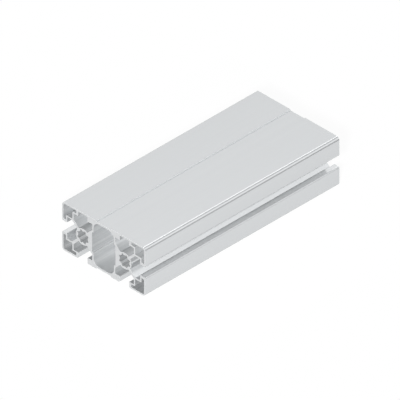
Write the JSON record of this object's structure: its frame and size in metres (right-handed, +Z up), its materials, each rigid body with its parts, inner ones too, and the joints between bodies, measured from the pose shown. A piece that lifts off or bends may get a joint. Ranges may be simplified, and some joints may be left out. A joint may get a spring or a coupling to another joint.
{
  "type": "aluminium extrusion profile",
  "caption": "Straight cut of double-width T-slot aluminium framing profile, hollow, with open slots on the sides and underside, a smooth closed top and fluted core holes in its ends.",
  "frame": {"origin": "middle of the underside", "axes": "+Y along the length, +X across the width, +Z up through the closed face"},
  "size_m": [0.09, 0.21, 0.045],
  "materials": {
    "anodised_aluminium": "natural satin anodised, plain sawn ends"
  },
  "bodies": {
    "root": {"profile": "anodised_aluminium"}
  },
  "joints": []
}
